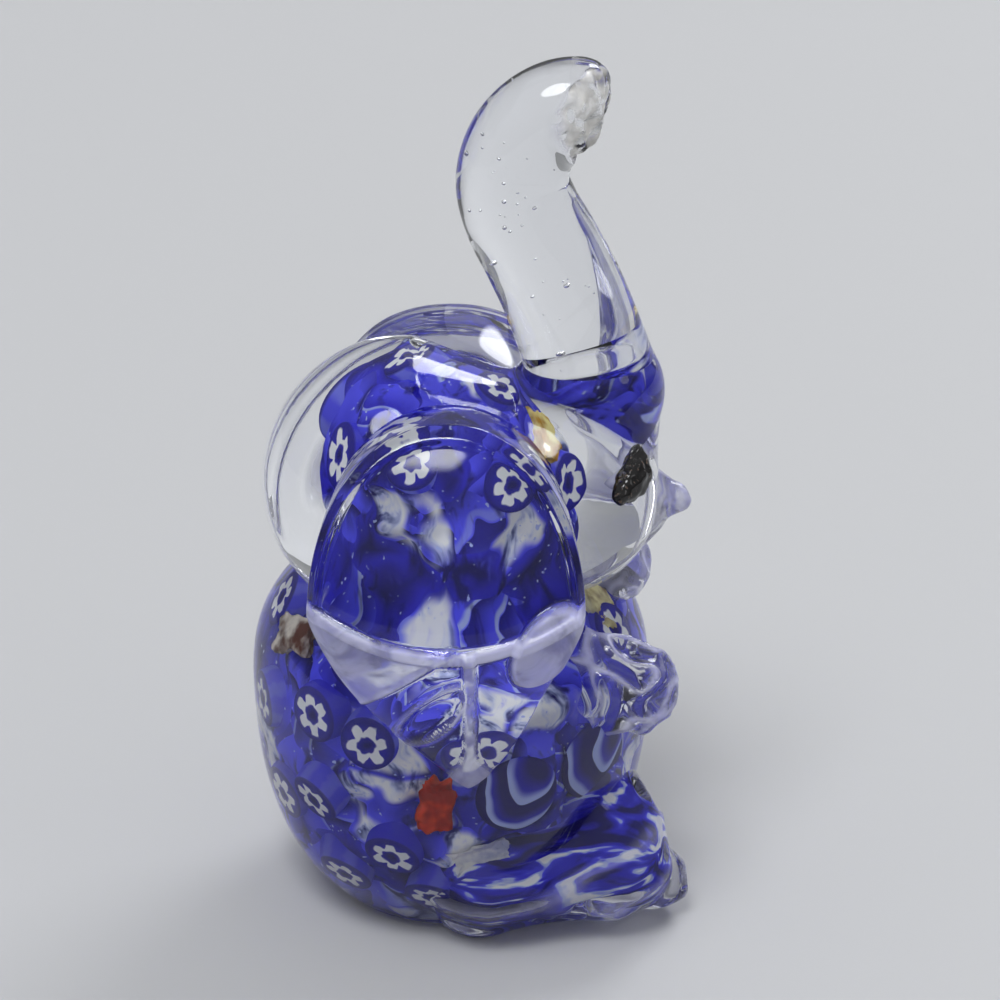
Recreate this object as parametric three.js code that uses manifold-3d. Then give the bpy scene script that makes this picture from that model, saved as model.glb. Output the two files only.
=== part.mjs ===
// Seated glass elephant: a cobalt gather set with flower-cane slices, cased in clear glass,
// with the head, raised trunk, ears, eyes, lips and feet applied as separate bits of glass.
// Millimetres and degrees. The elephant faces +X, its right side is -Y, and +Z is up.
import * as THREE from 'three';
import { mergeVertices } from 'three/addons/utils/BufferGeometryUtils.js';
import loadManifold from 'manifold-3d';

const wasm = await loadManifold();
wasm.setup();

// Clearance left at every fused seam
const SEAM = 0.3;

// Body: an egg that is widest low down and cut flat at the base
const BODY_RADIUS = 29;
const BODY_WIDEST_HEIGHT = 32;
const BODY_BASE_CUT = 6;
const BODY_UPPER_REACH = 24;
const BODY_LOWER_POWER = 2.25;
const BODY_UPPER_POWER = 2.4;
const BODY_WALL = 3.2;
const BASE_WALL = 2.4;

// Flower canes set in the body core, and the slices that lie on their side
const CANE_RADIUS = 3.9;
const CANE_LENGTH = 4.6;
const CANE_PROUD = 2.8;
const CHIP_RADIUS = 2.4;
const CHIP_LENGTH = 7;
const CHIP_SINK = 1;

// Head: a skull ball, a narrower face ahead of it and the dome that carries the trunk
const SKULL_RADIUS = 20.5;
const SKULL_SETBACK = 6.3;
const SKULL_RISE = 7.3;
const FACE_RADIUS = 13.9;
const FACE_FORWARD = 21.3;
const FACE_DROP = 1.3;
const TRUNK_SEAT_LIP = 0.9;
const TRUNK_SEAT_FORWARD = 4.8;
const TRUNK_SEAT_RISE = 15;
const HEAD_MELT = 1.2;
const LIMB_MELT = 0.8;

// Coloured heart of the head, its canes and the stem down to the body core
const HEAD_CORE_RADIUS = 15.3;
const HEAD_CORE_FORWARD = 7.8;
const HEAD_CANE_RADIUS = 3.7;
const HEAD_CANE_LENGTH = 3;
const STEM_RADIUS = 15;

// Trunk
const TRUNK_ROOT_RADIUS = 9.5;
const TRUNK_TIP_RADIUS = 6.8;
const TRUNK_TIP_ROUNDING = 4;
const TRUNK_SHEAR_AZIMUTH = -35;
const TRUNK_SHEAR_ELEVATION = -17.5;
const TRUNK_SHEAR_DEPTH = 2.8;

// Ears: a round upper disc folded along a crest, with a pointed lobe below
const EAR_HALF_WIDTH = 18.4;
const EAR_UPPER_REACH = 23.2;
const EAR_LOWER_REACH = 27.8;
const EAR_UPPER_POWER = 2.15;
const EAR_LOWER_POWER = 1.25;
const EAR_FORWARD = 6.3;
const EAR_DROP = 5.2;
const EAR_STANDOFF = 12.8;
const EAR_CREST_DROP = 2.6;
const EAR_CREST_CURL = 5;
const EAR_CREST_ROUNDING = 4;
const EAR_UPPER_LEAN = 0.46;
const EAR_LOWER_LEAN = 0.17;
const EAR_RIM = 1.2;
const EAR_DOME = 4.6;
const EAR_SINK = 5;
const EAR_ROOT_POWER = 12;
const EAR_ROOT_WRAP = 10;

// Eyes
const EYE_AZIMUTH = 42;
const EYE_ELEVATION = 27;
const EYE_WIDTH = 6.4;
const EYE_HEIGHT = 7.4;
const EYE_THICKNESS = 4.4;

// Lips: the upper one stands out from the front of the face, the lower one hangs under it
const UPPER_LIP_ROOT_RADIUS = 8.4;
const UPPER_LIP_TIP_RADIUS = 1.8;
const UPPER_LIP_PROUD = 3.1;
const UPPER_LIP_DROP = 1.6;
const LOWER_LIP_ROOT_RADIUS = 8;
const LOWER_LIP_TIP_RADIUS = 5.8;
const LOWER_LIP_ANGLE = 58;
const LOWER_LIP_ROOT_DROP = 10.5;
const LOWER_LIP_ROOT_BACK = 3.7;

// Feet: each starts inside the body wall and runs forward
const FRONT_LEG_SINK = 10;
const FRONT_LEG_ROOT_RADIUS = 8;
const FRONT_LEG_PAW_RADIUS = 6.6;
const HIND_LEG_SINK = 12;
const HIND_LEG_ROOT_RADIUS = 10.5;
const HIND_LEG_ANKLE_RADIUS = 8.2;
const HIND_LEG_TOE_RADIUS = 4.5;

// Mesh fineness
const EGG_SIDES = 32;
const EGG_STEPS = 13;
const BLOB_SIDES = 24;
const BLOB_STEPS = 14;
const LIMB_SIDES = 18;
const LIMB_STEPS = 12;
const TRUNK_SIDES = 16;
const TRUNK_STEPS = 20;
const CANE_SIDES = 9;
const SKIN_STEPS = 80;
const EYE_SIDES = 14;

// Azimuth and elevation of each cane set in the body, seen from the middle of its widest ring
const BODY_CANES = [
  [-175, 29], [-125, 28], [-20, 25], [90, 31], [140, 28],
  [-164, 0], [-135, 8], [-115, 4], [-81, 8], [-8, -2], [24, 2], [58, 2], [92, 2], [126, 2], [160, 2],
  [-137, -22], [-155, -27], [-68, -14], [-39, -10],
  [4, -29], [38, -28], [72, -26], [106, -26], [140, -26], [172, -26],
  [-109, -34], [-36, -32], [-132, -46], [-97, -49], [-50, -49], [100, -49],
];

// Azimuth, elevation and turn from level of each slice that lies on its side in the body
const BODY_CHIPS = {
  body_chip_red: [-94, -16, 80],
  body_chip_amber: [-156, 25, 20],
  body_chip_white: [-79, -36, 25],
  body_chip_yellow: [-16, 33, 60],
};

// Azimuth and elevation of each cane set in the head, seen from the middle of its core
const HEAD_CANES = [
  [157, 59], [-165, 17], [-27, 67], [-115, 24], [-65, 14], [-20, 6], [40, 22], [90, 14], [140, 8],
];

// The same, and the turn from level, of the slice that lies on its side in the head
const HEAD_CHIPS = { head_chip_amber: [-20, 30, 55] };

// Trunk centre line, forward and up from the middle of its seat
const TRUNK_LINE = [
  [0, 0], [-0.8, 5.5], [-3.8, 14], [-7, 20.5], [-9.8, 26],
  [-11, 31], [-9.2, 36.6], [-4.4, 40.2], [2.8, 40.8],
];

// Angle and height of each leg's root, then how far forward, sideways and up its joints lie from there
const FRONT = { sink: FRONT_LEG_SINK, radii: [FRONT_LEG_ROOT_RADIUS, FRONT_LEG_PAW_RADIUS] };
const HIND = {
  sink: HIND_LEG_SINK,
  radii: [HIND_LEG_ROOT_RADIUS, HIND_LEG_ANKLE_RADIUS, HIND_LEG_TOE_RADIUS],
};
const LEGS = {
  front_leg_right: { ...FRONT, root: [-45, 40], joints: [[11.6, -1.7, -2]] },
  front_leg_left: { ...FRONT, root: [45, 30], joints: [[10.4, 0.5, -5]] },
  hind_leg_right: { ...HIND, root: [-72, 9.5], joints: [[18, 1.5, 0.5], [24.5, 3, -4.5]] },
  hind_leg_left: { ...HIND, root: [72, 9.5], joints: [[11, -1.5, 0], [17, -3, -4.5]] },
};

const COBALT = 0x2a2fa0;
const CLEAR = 0xe6ecf2;
const BLACK = 0x16130f;
const CHIP_COLOURS = {
  body_chip_red: 0xa83222,
  body_chip_amber: 0xb98a4a,
  body_chip_white: 0xe9e6da,
  body_chip_yellow: 0xd8b84a,
  head_chip_amber: 0xc99a2e,
};

// Places worked out from the sizes above
const UP = new THREE.Vector3(0, 0, 1);
const BODY_CROWN = BODY_WIDEST_HEIGHT + BODY_UPPER_REACH;
const BODY_LOWER_REACH = BODY_WIDEST_HEIGHT + BODY_BASE_CUT;
const BODY_HEART = new THREE.Vector3(0, 0, BODY_WIDEST_HEIGHT);
const SKULL = new THREE.Vector3(-SKULL_SETBACK, 0, BODY_CROWN + SKULL_RISE);
const FACE = SKULL.clone().add(new THREE.Vector3(FACE_FORWARD, 0, -FACE_DROP));
const TRUNK_SEAT = FACE.clone().add(new THREE.Vector3(TRUNK_SEAT_FORWARD, 0, TRUNK_SEAT_RISE));
const HEAD_CORE = SKULL.clone().add(new THREE.Vector3(HEAD_CORE_FORWARD, 0, 0));
const HEAD_MIDDLE = SKULL.clone().add(FACE).add(TRUNK_SEAT).divideScalar(3);

const { clamp, degToRad, lerp } = THREE.MathUtils;

// Closed solid from a geometry, with its seams and poles merged
function solid(geometry) {
  geometry.deleteAttribute('normal');
  geometry.deleteAttribute('uv');
  const merged = mergeVertices(geometry);
  const corners = merged.index.array;
  const triVerts = [];
  for (let i = 0; i < corners.length; i += 3) {
    const [a, b, c] = corners.slice(i, i + 3);
    if (a !== b && b !== c && c !== a) triVerts.push(a, b, c);
  }
  return new wasm.Manifold(new wasm.Mesh({
    numProp: 3,
    vertProperties: new Float32Array(merged.attributes.position.array),
    triVerts: new Uint32Array(triVerts),
  }));
}

// Moves every vertex of a geometry to where the given function sends it
function reshape(geometry, move) {
  const position = geometry.attributes.position;
  const point = new THREE.Vector3();
  for (let i = 0; i < position.count; i += 1) {
    const moved = move(point.fromBufferAttribute(position, i).clone());
    position.setXYZ(i, moved.x, moved.y, moved.z);
  }
  return geometry;
}

function polar(radius, angle, height) {
  return new THREE.Vector3(radius * Math.cos(degToRad(angle)), radius * Math.sin(degToRad(angle)), height);
}

// Unit direction from an azimuth and an elevation
function direction(azimuth, elevation) {
  const level = Math.cos(degToRad(elevation));
  return polar(level, azimuth, Math.sin(degToRad(elevation)));
}

// The turn that stands a geometry's own Y axis along a direction
function turnTo(axis) {
  return new THREE.Quaternion().setFromUnitVectors(new THREE.Vector3(0, 1, 0), axis.clone().normalize());
}

// Reach and roundness of the body's egg above or below its widest ring
function eggHalf(rise) {
  return rise > 0 ? [BODY_UPPER_REACH, BODY_UPPER_POWER] : [BODY_LOWER_REACH, BODY_LOWER_POWER];
}

// The body's egg as a solid, with its surface moved outwards and its base cut flat at a height
function egg(offset, base) {
  const lowest = -Math.asin((BODY_WIDEST_HEIGHT - base) / (BODY_LOWER_REACH + offset));
  const profile = [new THREE.Vector2(0, base)];
  for (let step = 0; step < EGG_STEPS; step += 1) {
    const swing = Math.sin(lerp(lowest, Math.PI / 2, step / EGG_STEPS));
    const [reach, power] = eggHalf(swing);
    const radius = (BODY_RADIUS + offset) * (1 - Math.abs(swing) ** power) ** (1 / power);
    profile.push(new THREE.Vector2(radius, BODY_WIDEST_HEIGHT + swing * (reach + offset)));
  }
  profile.push(new THREE.Vector2(0, BODY_CROWN + offset));
  return solid(new THREE.LatheGeometry(profile, EGG_SIDES).rotateX(Math.PI / 2));
}

// Distance to a ball, negative inside
const ball = (centre, radius) => (point) => point.distanceTo(centre) - radius;

// Distance to a tapered limb with round ends, negative inside
function taper(start, end, startRadius, endRadius) {
  const axis = end.clone().sub(start);
  return (point) => {
    const along = clamp(point.clone().sub(start).dot(axis) / axis.lengthSq(), 0, 1);
    const nearest = start.clone().addScaledVector(axis, along);
    return point.distanceTo(nearest) - lerp(startRadius, endRadius, along);
  };
}

// Distance to several forms melted together, with creases rounded over the given width
function melt(width, ...fields) {
  return (point) => {
    const sum = fields.reduce((total, field) => total + Math.exp(-field(point) / width), 0);
    return -width * Math.log(sum);
  };
}

// Where a ray from inside a form leaves it, with the form's skin moved outwards by an offset
function leave(field, start, ray, offset) {
  const exit = start.clone();
  for (let step = 0; step < SKIN_STEPS; step += 1) exit.addScaledVector(ray, offset - field(exit));
  return exit;
}

// A form as a solid: a ball with its poles on an axis, whose vertices slide out from a middle
// point to the form's skin
function blob(field, middle, axis, offset, sides, steps) {
  const sphere = new THREE.SphereGeometry(1, sides, steps).applyQuaternion(turnTo(axis));
  return solid(reshape(sphere, (ray) => leave(field, middle, ray.normalize(), offset)));
}

// About the distance to the skin that the body's canes share, negative inside
function bodySkinForm(point) {
  const rise = point.z - BODY_WIDEST_HEIGHT;
  const [reach, power] = eggHalf(rise);
  const radius = BODY_RADIUS - BODY_WALL;
  const across = Math.hypot(point.x, point.y) / radius;
  const along = Math.abs(rise) / (reach - BODY_WALL);
  return radius * ((across ** power + along ** power) ** (1 / power) - 1);
}

const headForm = melt(
  HEAD_MELT,
  taper(SKULL, FACE, SKULL_RADIUS, FACE_RADIUS),
  taper(FACE, TRUNK_SEAT, FACE_RADIUS, TRUNK_ROOT_RADIUS + TRUNK_SEAT_LIP),
);

const headCoreForm = melt(
  HEAD_MELT,
  ball(HEAD_CORE, HEAD_CORE_RADIUS),
  taper(HEAD_CORE, BODY_HEART, STEM_RADIUS, STEM_RADIUS),
);

const head = (offset) => blob(headForm, HEAD_MIDDLE, UP, offset, BLOB_SIDES, BLOB_STEPS);
const headCore = (offset) => blob(headCoreForm, HEAD_CORE, UP, offset, BLOB_SIDES, BLOB_STEPS);

// A cane as a short rod along an axis, its outer end at a point, grown by a clearance all round
function rod(outerEnd, axis, radius, length, clearance) {
  const height = length + 2 * clearance;
  const geometry = new THREE.CylinderGeometry(radius + clearance, radius + clearance, height, CANE_SIDES);
  const middle = outerEnd.clone().addScaledVector(axis, -length / 2);
  return solid(geometry.applyQuaternion(turnTo(axis)).translate(middle.x, middle.y, middle.z));
}

// A cane standing with its flower on the core's skin: the slice and the pocket that it needs
function standingCane(skinPoint, outward, radius, length) {
  const proud = skinPoint.clone().addScaledVector(outward, radius);
  return {
    slice: rod(proud, outward, radius, length + radius, 0),
    pocket: rod(proud, outward, radius, length + radius, SEAM),
  };
}

// A slice lying on its side in the core's skin
function lyingChip(skinPoint, outward, turn) {
  const level = UP.clone().cross(outward).normalize();
  const along = level.applyAxisAngle(outward, degToRad(turn));
  const end = skinPoint.clone().addScaledVector(outward, -CHIP_SINK);
  end.addScaledVector(along, CHIP_LENGTH / 2);
  return {
    slice: rod(end, along, CHIP_RADIUS, CHIP_LENGTH, 0),
    pocket: rod(end, along, CHIP_RADIUS, CHIP_LENGTH, SEAM),
  };
}

// Point on a core's skin and the way out to it, seen from the core's middle
function skin(form, middle, azimuth, elevation) {
  const outward = direction(azimuth, elevation);
  return [leave(form, middle, outward, 0), outward];
}

// Presses canes into a core. Each slice ends flush with the skin that they all share and is
// squashed flat against those that were laid before it.
function inlay(core, skinSolid, canes) {
  let remaining = core;
  const slices = [];
  for (const { slice, pocket } of canes) {
    const laid = slices.reduce((cut, earlier) => cut.subtract(earlier.pocket), slice.intersect(skinSolid));
    slices.push({ laid, pocket });
    remaining = remaining.subtract(pocket);
  }
  return { core: remaining, slices: slices.map(({ laid }) => laid) };
}

// What is sheared off a trunk's tip: everything beyond a slanting face
function tipWaste(tip) {
  const outward = direction(TRUNK_SHEAR_AZIMUTH, TRUNK_SHEAR_ELEVATION);
  const size = 2.2 * TRUNK_TIP_RADIUS;
  const middle = tip.clone().addScaledVector(outward, size / 2 - TRUNK_SHEAR_DEPTH);
  const block = new THREE.BoxGeometry(size, size, size).applyQuaternion(turnTo(outward));
  return solid(block.translate(middle.x, middle.y, middle.z));
}

// Trunk: a round bar bent along its centre line, thinner at the tip and sheared off there
function trunkBar() {
  const line = TRUNK_LINE.map(([ahead, up]) => TRUNK_SEAT.clone().add(new THREE.Vector3(ahead, 0, up)));
  const curve = new THREE.CatmullRomCurve3(line);
  const length = curve.getLength();
  const side = new THREE.Vector3(0, 1, 0);
  const cylinder = new THREE.CylinderGeometry(1, 1, 1, TRUNK_SIDES, TRUNK_STEPS);
  const bar = solid(reshape(cylinder, ({ x, y, z }) => {
    const along = clamp(y + 0.5, 0, 1);
    const across = curve.getTangentAt(along).cross(side);
    const rounding = clamp(1 - ((1 - along) * length) / TRUNK_TIP_ROUNDING, 0, 1);
    const shrink = TRUNK_TIP_ROUNDING * (1 - Math.sqrt(1 - rounding * rounding));
    const radius = lerp(TRUNK_ROOT_RADIUS, TRUNK_TIP_RADIUS, along) - shrink;
    return curve.getPointAt(along).addScaledVector(across, radius * x).addScaledVector(side, radius * z);
  }));
  return bar.subtract(tipWaste(line.at(-1)));
}

// How far the ear's outline lies from its centre, in the direction of a flat unit vector
function earOutline(ahead, up) {
  const reach = up > 0 ? EAR_UPPER_REACH : EAR_LOWER_REACH;
  const power = up > 0 ? EAR_UPPER_POWER : EAR_LOWER_POWER;
  return (Math.abs(ahead / EAR_HALF_WIDTH) ** power + Math.abs(up / reach) ** power) ** (-1 / power);
}

// How far the ear's middle layer lies outside its crest: it leans in above the crest and below it
function earFold(ahead, up) {
  const crest = EAR_CREST_CURL * (ahead / EAR_HALF_WIDTH) ** 2 - EAR_CREST_DROP;
  const rise = up - crest;
  const rounded = Math.hypot(rise, EAR_CREST_ROUNDING) - EAR_CREST_ROUNDING;
  return -rounded * (rise > 0 ? EAR_UPPER_LEAN : EAR_LOWER_LEAN);
}

// Ear on one side of the head, side -1 on the right and 1 on the left
function ear(side, clearance) {
  const disc = new THREE.SphereGeometry(1, BLOB_SIDES, BLOB_STEPS);
  const spread = SKULL_RADIUS + EAR_STANDOFF;
  return solid(reshape(disc, ({ x, y, z }) => {
    const flat = Math.hypot(x, z);
    const toRim = flat > 0 ? flat * earOutline(x / flat, z / flat) + clearance * flat : 0;
    const ahead = flat > 0 ? (toRim * x) / flat : 0;
    const up = flat > 0 ? (toRim * z) / flat : 0;
    const outer = y * side > 0;
    const dome = EAR_DOME * y * y;
    const sink = EAR_SINK + EAR_ROOT_WRAP * (ahead / EAR_HALF_WIDTH) ** 2;
    const root = (EAR_STANDOFF + sink) * (1 - flat ** EAR_ROOT_POWER);
    const thickness = Math.sqrt(Math.abs(y)) * (EAR_RIM + clearance) + (outer ? dome : root);
    const out = spread + earFold(ahead, up) + (outer ? thickness : -thickness);
    return new THREE.Vector3(SKULL.x + EAR_FORWARD + ahead, side * out, SKULL.z - EAR_DROP + up);
  }));
}

// Eye: a flattened drop sitting on the face
function eye(side) {
  const outward = direction(side * EYE_AZIMUTH, EYE_ELEVATION);
  const seat = leave(headForm, FACE, outward, 0);
  const drop = new THREE.SphereGeometry(1, EYE_SIDES, EYE_SIDES / 2);
  drop.scale(EYE_WIDTH / 2, EYE_HEIGHT / 2, EYE_THICKNESS / 2);
  const turn = new THREE.Matrix4().lookAt(outward, new THREE.Vector3(), UP);
  return solid(drop.applyMatrix4(turn).translate(seat.x, seat.y, seat.z));
}

// A run of balls of given radii drawn out into one limb
function limb(joints, radii) {
  const spans = joints.slice(1).map((joint, index) => {
    return taper(joints[index], joint, radii[index], radii[index + 1]);
  });
  const [root, next] = joints;
  const run = joints.at(-1).clone().sub(root);
  return blob(melt(LIMB_MELT, ...spans), root.clone().lerp(next, 0.5), run, 0, LIMB_SIDES, LIMB_STEPS);
}

function upperLip() {
  const tip = FACE.clone().add(new THREE.Vector3(FACE_RADIUS + UPPER_LIP_PROUD, 0, -UPPER_LIP_DROP));
  return limb([FACE.clone().lerp(tip, 0.5), tip], [UPPER_LIP_ROOT_RADIUS, UPPER_LIP_TIP_RADIUS]);
}

function lowerLip() {
  const root = FACE.clone().add(new THREE.Vector3(-LOWER_LIP_ROOT_BACK, 0, -LOWER_LIP_ROOT_DROP));
  const tip = FACE.clone().addScaledVector(direction(0, -LOWER_LIP_ANGLE), FACE_RADIUS);
  return limb([root, tip], [LOWER_LIP_ROOT_RADIUS, LOWER_LIP_TIP_RADIUS]);
}

function leg({ sink, radii, root: [angle, height], joints }) {
  const start = polar(BODY_RADIUS - sink, angle, height);
  const rest = joints.map((joint) => start.clone().add(new THREE.Vector3(...joint)));
  return limb([start, ...rest], radii);
}

// Everything below the base
function underground() {
  const size = 4 * BODY_RADIUS;
  return solid(new THREE.BoxGeometry(size, size, size).translate(0, 0, -size / 2));
}

const elephant = new THREE.Group();

function addPiece(name, shape, color, roughness = 0.05) {
  const { vertProperties, triVerts } = shape.getMesh();
  const geometry = new THREE.BufferGeometry();
  geometry.setAttribute('position', new THREE.BufferAttribute(vertProperties, 3));
  geometry.setIndex(new THREE.BufferAttribute(triVerts, 1));
  geometry.computeVertexNormals();
  const mesh = new THREE.Mesh(geometry, new THREE.MeshStandardMaterial({ color, roughness, metalness: 0 }));
  mesh.name = name;
  elephant.add(mesh);
}

const twoDigits = (index) => String(index + 1).padStart(2, '0');

// A core with its chips and canes, each chip under its own name and each cane under a number.
// Gives back the pockets that they need in the glass over them.
function addCore(name, core, skinSolid, skinAt, chips, places, radius, length) {
  const lying = Object.values(chips).map(([azimuth, elevation, turn]) => {
    return lyingChip(...skinAt(azimuth, elevation), turn);
  });
  const standing = places.map((place) => standingCane(...skinAt(...place), radius, length));
  const canes = [...lying, ...standing];
  const laid = inlay(core, skinSolid, canes);
  addPiece(`${name}_core`, laid.core, COBALT);
  Object.keys(chips).forEach((chip, index) => addPiece(chip, laid.slices[index], CHIP_COLOURS[chip]));
  laid.slices.slice(lying.length).forEach((slice, index) => {
    addPiece(`${name}_cane_${twoDigits(index)}`, slice, COBALT);
  });
  return canes.map(({ pocket }) => pocket);
}

// Body core under the clear casing, which runs down between the canes that stand out of the core
const bodySkin = (azimuth, elevation) => skin(bodySkinForm, BODY_HEART, azimuth, elevation);
const bodyCore = egg(-BODY_WALL - CANE_PROUD, BASE_WALL);
const bodySetting = egg(-BODY_WALL, BASE_WALL);
const bodyPockets = addCore(
  'body', bodyCore, bodySetting, bodySkin, BODY_CHIPS, BODY_CANES, CANE_RADIUS, CANE_LENGTH,
);
const coreSeat = egg(SEAM - BODY_WALL - CANE_PROUD, BASE_WALL - SEAM);
const settingSeat = egg(SEAM - BODY_WALL, BASE_WALL - SEAM);
const glassPockets = bodyPockets.map((pocket) => pocket.intersect(settingSeat));
const bodyCavity = glassPockets.reduce((hollow, pocket) => hollow.add(pocket), coreSeat);
addPiece('body_casing', egg(0, 0).subtract(bodyCavity).subtract(headCore(SEAM)), CLEAR);

// Head core under the clear head
const headSkin = (azimuth, elevation) => skin(headCoreForm, HEAD_CORE, azimuth, elevation);
const seatedHeadCore = headCore(0).subtract(coreSeat);
addCore(
  'head', seatedHeadCore, seatedHeadCore, headSkin, HEAD_CHIPS, HEAD_CANES,
  HEAD_CANE_RADIUS, HEAD_CANE_LENGTH,
);
const bodySeat = egg(SEAM, -SEAM);
addPiece('head_casing', head(0).subtract(bodySeat).subtract(headCore(SEAM)), CLEAR);

// Applied bits, each seated on the head and the body
const headSeat = head(SEAM);
addPiece('trunk', trunkBar().subtract(headSeat), CLEAR);
for (const [sideName, side] of [['right', -1], ['left', 1]]) {
  addPiece(`ear_${sideName}`, ear(side, 0).subtract(headSeat).subtract(bodySeat), CLEAR);
  addPiece(`eye_${sideName}`, eye(side).subtract(headSeat), BLACK);
}
addPiece('lip_upper', upperLip().subtract(headSeat), CLEAR);
addPiece('lip_lower', lowerLip().subtract(headSeat).subtract(bodySeat), CLEAR);
const ground = underground();
for (const [name, shape] of Object.entries(LEGS)) {
  const side = Math.sign(shape.root[0]);
  addPiece(name, leg(shape).subtract(bodySeat).subtract(ear(side, SEAM)).subtract(ground), CLEAR);
}

// Stands the elephant on its base, centred over the origin
const box = new THREE.Box3().setFromObject(elephant);
const middle = box.getCenter(new THREE.Vector3());
elephant.position.set(-middle.x, -middle.y, -box.min.z);
elephant.updateMatrixWorld(true);

export default elephant;
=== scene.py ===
"""Glass elephant paperweight: clear glass over cobalt cores set with flower canes.

Metres. The elephant faces +X, its right side is -Y, and +Z is up.
"""
import math
import random

import bmesh
import bpy
import numpy as np
from mathutils import Matrix, Vector, noise
from mathutils.bvhtree import BVHTree


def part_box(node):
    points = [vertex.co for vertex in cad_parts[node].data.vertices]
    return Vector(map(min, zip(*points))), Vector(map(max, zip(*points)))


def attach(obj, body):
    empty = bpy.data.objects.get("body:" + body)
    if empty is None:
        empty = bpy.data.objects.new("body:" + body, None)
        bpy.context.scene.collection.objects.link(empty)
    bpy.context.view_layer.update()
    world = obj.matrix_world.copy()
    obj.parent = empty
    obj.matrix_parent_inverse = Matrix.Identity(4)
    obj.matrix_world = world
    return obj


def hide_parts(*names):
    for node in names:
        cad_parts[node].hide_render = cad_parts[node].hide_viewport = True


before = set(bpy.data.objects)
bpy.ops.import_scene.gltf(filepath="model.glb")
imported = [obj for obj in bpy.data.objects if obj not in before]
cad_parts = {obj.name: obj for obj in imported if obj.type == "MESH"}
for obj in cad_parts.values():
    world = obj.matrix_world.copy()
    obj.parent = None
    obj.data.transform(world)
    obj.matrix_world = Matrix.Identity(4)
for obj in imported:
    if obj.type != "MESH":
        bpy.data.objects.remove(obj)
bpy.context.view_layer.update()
WHOLE = "root"

# Body: an egg on a flat base
casing_low, casing_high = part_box("body_casing")
AXIS_AHEAD = (casing_low.x + casing_high.x) / 2
BODY_RADIUS = (casing_high.x - casing_low.x) / 2
BODY_WIDEST_HEIGHT = 0.032
BODY_UPPER_REACH = 0.024
BODY_LOWER_REACH = 0.038
BODY_UPPER_POWER = 2.4
BODY_LOWER_POWER = 2.25
BODY_WALL = 0.0032
BASE_WALL = 0.0024
BASE_EDGE = 0.0016
BASE_EDGE_STEPS = 4
GROUND_SKIN = 0.0002
CORE_INSET = 0.0028

# Head
SKULL_RADIUS = 0.0205
FACE_RADIUS = 0.0139
SEAT_RADIUS = 0.0104
HEAD_MELT = 0.0012
HEAD_CORE_RADIUS = 0.0153
HEAD_CORE_INSET = 0.001
STEM_RADIUS = 0.015

# Canes and chips
CANE_RADIUS = 0.0039
CANE_LENGTH = 0.0075
HEAD_CANE_RADIUS = 0.0037
HEAD_CANE_LENGTH = 0.0065
CANE_TILT = math.radians(12)
CANE_TURNS = (0, 6)
CANE_SIDES = 36
CANE_SHUFFLE = 7
CANE_EDGE_STEPS = 3
# Shares of a cane's own radius: its rounded edge, and the band that still counts as its end
CANE_EDGE = 0.16
CANE_END = 0.1
# Slices that sagged while hot, and how far each is turned, in radians
DROOPED_CANES = {"body_cane_18": -0.45, "body_cane_19": -0.75}
DROOP_HALF_WIDTH = 0.0062
DROOP_THICKNESS = 0.0035
DROOP_EDGE = (-0.3, 0.0)
CHIP_CUTS = 6
# How far apart the tears are, and how deep as a share of the chip
CHIP_TEARS = ((0.0017, 0.30), (0.0007, 0.14))

# Trunk
TRUNK_ROOT_RADIUS = 0.0095
TRUNK_TIP_RADIUS = 0.0068
TRUNK_TIP_ROUNDING = 0.004
TRUNK_LENGTH = 0.056
TRUNK_FLARE = 0.0010
TRUNK_FLARE_PLACE = 0.0070
TRUNK_FLARE_REACH = 0.0035
TRUNK_ROOT_SHARE = 0.06

# Ears
EAR_HALF_WIDTH = 0.0184
EAR_UPPER_REACH = 0.0232
EAR_LOWER_REACH = 0.0278
EAR_UPPER_POWER = 2.15
EAR_LOWER_POWER = 1.25
EAR_STANDOFF = 0.0128
EAR_SINK = 0.005
EAR_CREST_DROP = 0.0026
EAR_CREST_CURL = 0.005
EAR_CREST_ROUNDING = 0.004
EAR_UPPER_LEAN = 0.46
EAR_LOWER_LEAN = 0.17
EAR_RIM = 0.0012
EAR_DOME = 0.0046
EAR_ROOT_POWER = 12
EAR_ROOT_WRAP = 0.010
EAR_LOBE_SWEEP = 0.0028
EAR_SWEEP_START = 0.3 * EAR_LOWER_REACH
EAR_BEAD_PLACE = 0.95
EAR_BEAD_WIDTH = 0.03
EAR_BEAD_ENDS = (-0.004, 0.002)
EAR_BEAD_HEIGHT = 0.0005

# Eyes, lips and feet
EYE_DIRECTION = (42, 27)
EYE_SIZE = (0.0064, 0.0074, 0.0044)
EYE_TAPER = 0.6
EYE_LEAN = 0.6
LIMB_MELT = 0.0008

# Unevenness of the hot glass: how far apart its waves are, and how high
BODY_WAVES = (0.018, 0.0004)
BODY_CORE_LUMPS = (0.005, 0.0026)
HEAD_WAVES = (0.015, 0.0003)
HEAD_CORE_LUMPS = (0.005, 0.0022)
TRUNK_WAVES = (0.012, 0.00025)
EAR_WAVES = (0.010, 0.0003)
EYE_LUMPS = (0.0012, 0.0003)

# Fineness of the balls that the forms are drawn from
FINE = 7
MEDIUM = 6
COARSE = 5
# Steps to a form's skin, and lengths that count as nothing
SKIN_STEPS = 60
SAME_POINT = 1e-6
TINY = 1e-9


def place(ahead, left, up):
    """A point measured from the middle of the base."""
    return np.array((AXIS_AHEAD + ahead, left, up))


def polar(radius, angle, height):
    """A point round the body's axis."""
    turn = math.radians(angle)
    return place(radius * math.cos(turn), radius * math.sin(turn), height)


def heading(azimuth, elevation):
    """Unit direction from an azimuth and an elevation in degrees."""
    turn, tilt = math.radians(azimuth), math.radians(elevation)
    return np.array((math.cos(tilt) * math.cos(turn), math.cos(tilt) * math.sin(turn), math.sin(tilt)))


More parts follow.
